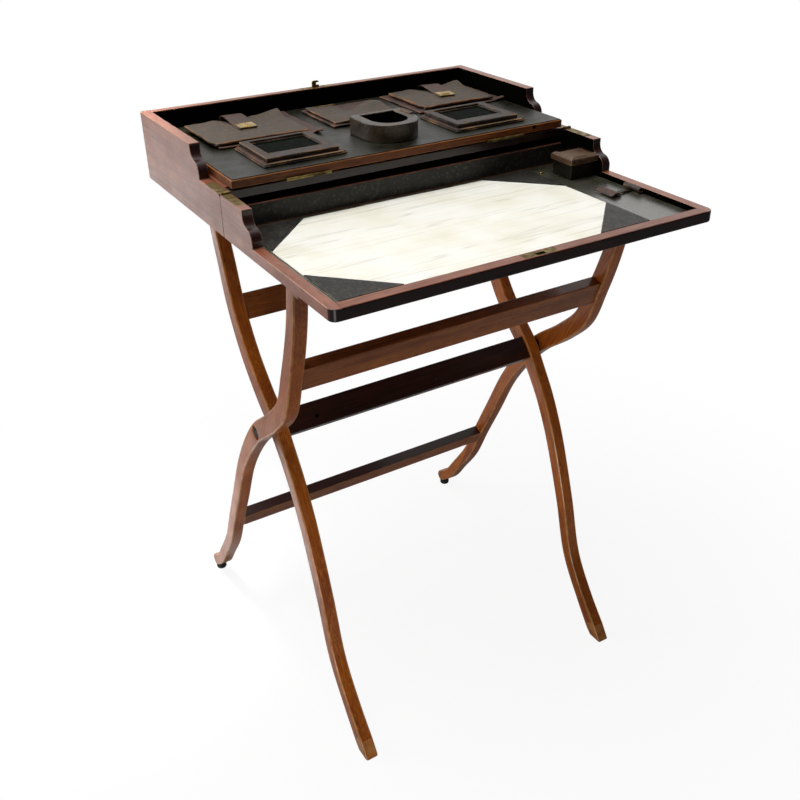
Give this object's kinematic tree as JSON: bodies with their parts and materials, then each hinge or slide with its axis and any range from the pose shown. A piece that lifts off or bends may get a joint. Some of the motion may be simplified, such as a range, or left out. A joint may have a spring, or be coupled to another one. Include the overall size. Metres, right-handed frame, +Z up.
{
  "type": "campaign desk",
  "caption": "Folding campaign writing desk: a hinged mahogany box with leather writing leaf, stationery board and inkwell on a crossed S-legged stand.",
  "frame": {"origin": "on the floor, in the middle of the open desk's footprint", "axes": "+Z up, -Y towards the sitter, X along the hinge line between the box's halves"},
  "size_m": [0.52, 0.5444, 0.8065],
  "materials": {
    "mahogany": "French-polished red-brown mahogany, worn at the edges",
    "leg_wood": "polished mahogany, rubbed lighter on the fronts of the legs",
    "aged_brass": "aged, unlacquered brass",
    "dark_steel": "blackened steel",
    "dark_leather": "worn dark green-black leather",
    "brown_leather": "worn brown leather with scuffed edges",
    "black_lining": "black lining cloth",
    "blotter_paper": "cream blotting paper with faint creases",
    "glass": "clear moulded glass",
    "horn_pane": "dark clear pane",
    "black_rubber": "black glide"
  },
  "bodies": {
    "inner_frame": {"inner_leg_left": "leg_wood", "inner_leg_right": "leg_wood", "inner_top_rail": "leg_wood", "inner_middle_rail": "leg_wood", "pivot_bolts": "dark_steel"},
    "outer_frame": {"outer_leg_left": "leg_wood", "outer_leg_right": "leg_wood", "outer_upper_rail": "leg_wood", "outer_lower_rail": "leg_wood", "foot_glides": "black_rubber"},
    "case": {"case_left_wall": "mahogany", "case_right_wall": "mahogany", "case_back_wall": "mahogany", "case_bottom": "mahogany", "case_front_rail": "mahogany", "case_front_facing": "dark_leather", "board_hinge_rail": "mahogany", "board_rests": "mahogany", "case_lining": "black_lining", "lock_catch": "aged_brass", "case_hinge_leaves": "aged_brass", "stand_pivot_blocks": "mahogany", "top_pivot_bolts": "dark_steel", "board_hinge_lower": "aged_brass"},
    "leaf": {"leaf_panel": "mahogany", "leaf_left_wall": "mahogany", "leaf_right_wall": "mahogany", "leaf_front_rail": "mahogany", "leaf_hinge_leaves": "aged_brass", "writing_leather": "dark_leather", "blotter": "blotter_paper", "blotter_corners": "dark_leather", "pen_strap": "dark_leather", "pen_roll": "dark_leather", "brass_stud": "aged_brass", "lock_plate": "aged_brass", "lock_case": "aged_brass", "leaf_stop_cleats": "mahogany", "inkwell_body": "dark_leather", "ink_bottle": "glass", "inkwell_pin": "aged_brass"},
    "lock_bolt": {"lock_bolt": "dark_steel"},
    "inkwell_lid": {"inkwell_lid": "dark_leather"},
    "board": {"stationery_board": "mahogany", "board_leather": "dark_leather", "board_hinge_upper": "aged_brass", "left_pouch": "brown_leather", "right_pouch": "brown_leather", "left_window_case": "brown_leather", "right_window_case": "brown_leather", "window_panes": "horn_pane", "centre_pouch": "brown_leather", "centre_flap": "brown_leather", "centre_bar": "aged_brass", "holder_ring": "brown_leather", "holder_loop": "brown_leather"},
    "left_strap": {"left_pouch_strap": "brown_leather", "left_pouch_clasp": "aged_brass"},
    "right_strap": {"right_pouch_strap": "brown_leather", "right_pouch_clasp": "aged_brass"}
  },
  "joints": [
    {"name": "case_tilt", "type": "hinge", "parent": "inner_frame", "child": "case", "pos_m": [0, 0.14775, 0.694], "axis": [-1, 0, 0], "range_deg": [0, 96]},
    {"name": "stand_scissor", "type": "hinge", "parent": "inner_frame", "child": "outer_frame", "pos_m": [0, 0.00075, 0.427], "axis": [-1, 0, 0], "range_deg": [0, 48]},
    {"name": "leaf_fold", "type": "hinge", "parent": "case", "child": "leaf", "pos_m": [0, -0.00225, 0.7592], "axis": [-1, 0, 0], "range_deg": [0, 180]},
    {"name": "board_lift", "type": "hinge", "parent": "case", "child": "board", "pos_m": [0, -0.00365, 0.76185], "axis": [-1, 0, 0], "range_deg": [-70, 0]},
    {"name": "inkwell_lid_hinge", "type": "hinge", "parent": "leaf", "child": "inkwell_lid", "pos_m": [0.225, -0.03435, 0.73415], "axis": [1, 0, 0], "range_deg": [-100, 0]},
    {"name": "left_strap_lift", "type": "hinge", "parent": "board", "child": "left_strap", "pos_m": [-0.148, 0.23405, 0.78165], "axis": [1, 0, 0], "range_deg": [-95, 0]},
    {"name": "right_strap_lift", "type": "hinge", "parent": "board", "child": "right_strap", "pos_m": [0.166, 0.23405, 0.78165], "axis": [1, 0, 0], "range_deg": [-95, 0]},
    {"name": "lock_bolt_slide", "type": "slide", "parent": "leaf", "child": "lock_bolt", "axis": [-1, 0, 0], "range_m": [0, 0.004]}
  ],
  "couplings": [
    {"joint": "stand_scissor", "follows": "case_tilt", "ratio": 0.5}
  ]
}
